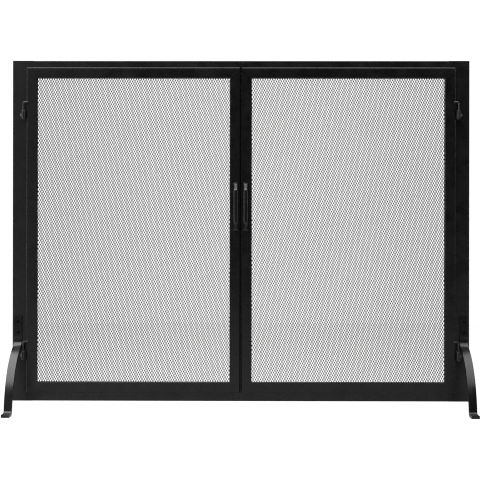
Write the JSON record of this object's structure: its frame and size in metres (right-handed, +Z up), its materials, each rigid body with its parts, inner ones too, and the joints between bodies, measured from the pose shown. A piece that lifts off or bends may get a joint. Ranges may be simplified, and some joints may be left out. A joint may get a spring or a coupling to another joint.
{
  "type": "fireplace screen",
  "caption": "Flat free-standing fireplace screen: a black steel surround on bowed legs, with hinged mesh doors that lap its front, upright pull handles and lift-off pin hinges.",
  "frame": {"origin": "on the floor under the middle of the screen, at the mid-plane of the surround", "axes": "+Z up, +X towards the right-hand side as seen from the front, +Y towards the fire; the front faces -Y"},
  "size_m": [1.118, 0.3308, 0.8516],
  "materials": {
    "surround_coat": "satin black powder coat",
    "door_coat": "satin black powder coat",
    "mesh_coat": "satin black coat",
    "leg_coat": "semi-gloss black coat",
    "handle_coat": "semi-gloss black coat",
    "knuckle_coat": "satin black coat",
    "pin_coat": "semi-gloss black coat",
    "fastener_coat": "black oxide",
    "strip_coat": "satin black powder coat",
    "cap_coat": "satin black powder coat"
  },
  "bodies": {
    "surround": {"door_stop_bar": "surround_coat", "left_front_leg": "leg_coat", "left_lower_knuckle": "knuckle_coat", "left_rear_leg": "leg_coat", "left_stile": "surround_coat", "left_upper_knuckle": "knuckle_coat", "leg_bolts": "fastener_coat", "leg_nuts": "fastener_coat", "leg_washers": "fastener_coat", "right_front_leg": "leg_coat", "right_lower_knuckle": "knuckle_coat", "right_rear_leg": "leg_coat", "right_stile": "surround_coat", "right_upper_knuckle": "knuckle_coat", "stile_end_caps": "cap_coat", "surround_bottom_rail": "surround_coat", "surround_top_rail": "surround_coat"},
    "left_door": {"left_bottom_rail": "door_coat", "left_bottom_strip": "strip_coat", "left_handle": "handle_coat", "left_hinge_stile": "door_coat", "left_hinge_strip": "strip_coat", "left_lower_hinge_pin": "pin_coat", "left_meeting_stile": "door_coat", "left_meeting_strip": "strip_coat", "left_mesh_front": "mesh_coat", "left_mesh_rear": "mesh_coat", "left_top_rail": "door_coat", "left_top_strip": "strip_coat", "left_upper_hinge_pin": "pin_coat"},
    "right_door": {"right_bottom_rail": "door_coat", "right_bottom_strip": "strip_coat", "right_handle": "handle_coat", "right_hinge_stile": "door_coat", "right_hinge_strip": "strip_coat", "right_lower_hinge_pin": "pin_coat", "right_meeting_stile": "door_coat", "right_meeting_strip": "strip_coat", "right_mesh_front": "mesh_coat", "right_mesh_rear": "mesh_coat", "right_top_rail": "door_coat", "right_top_strip": "strip_coat", "right_upper_hinge_pin": "pin_coat"}
  },
  "joints": [
    {"name": "left_door_swing", "type": "hinge", "parent": "surround", "child": "left_door", "pos_m": [-0.531, -0.01885, 0.71865], "axis": [0, 0, -1], "range_deg": [0, 92]},
    {"name": "right_door_swing", "type": "hinge", "parent": "surround", "child": "right_door", "pos_m": [0.531, -0.01885, 0.71865], "axis": [0, 0, 1], "range_deg": [0, 92]}
  ]
}
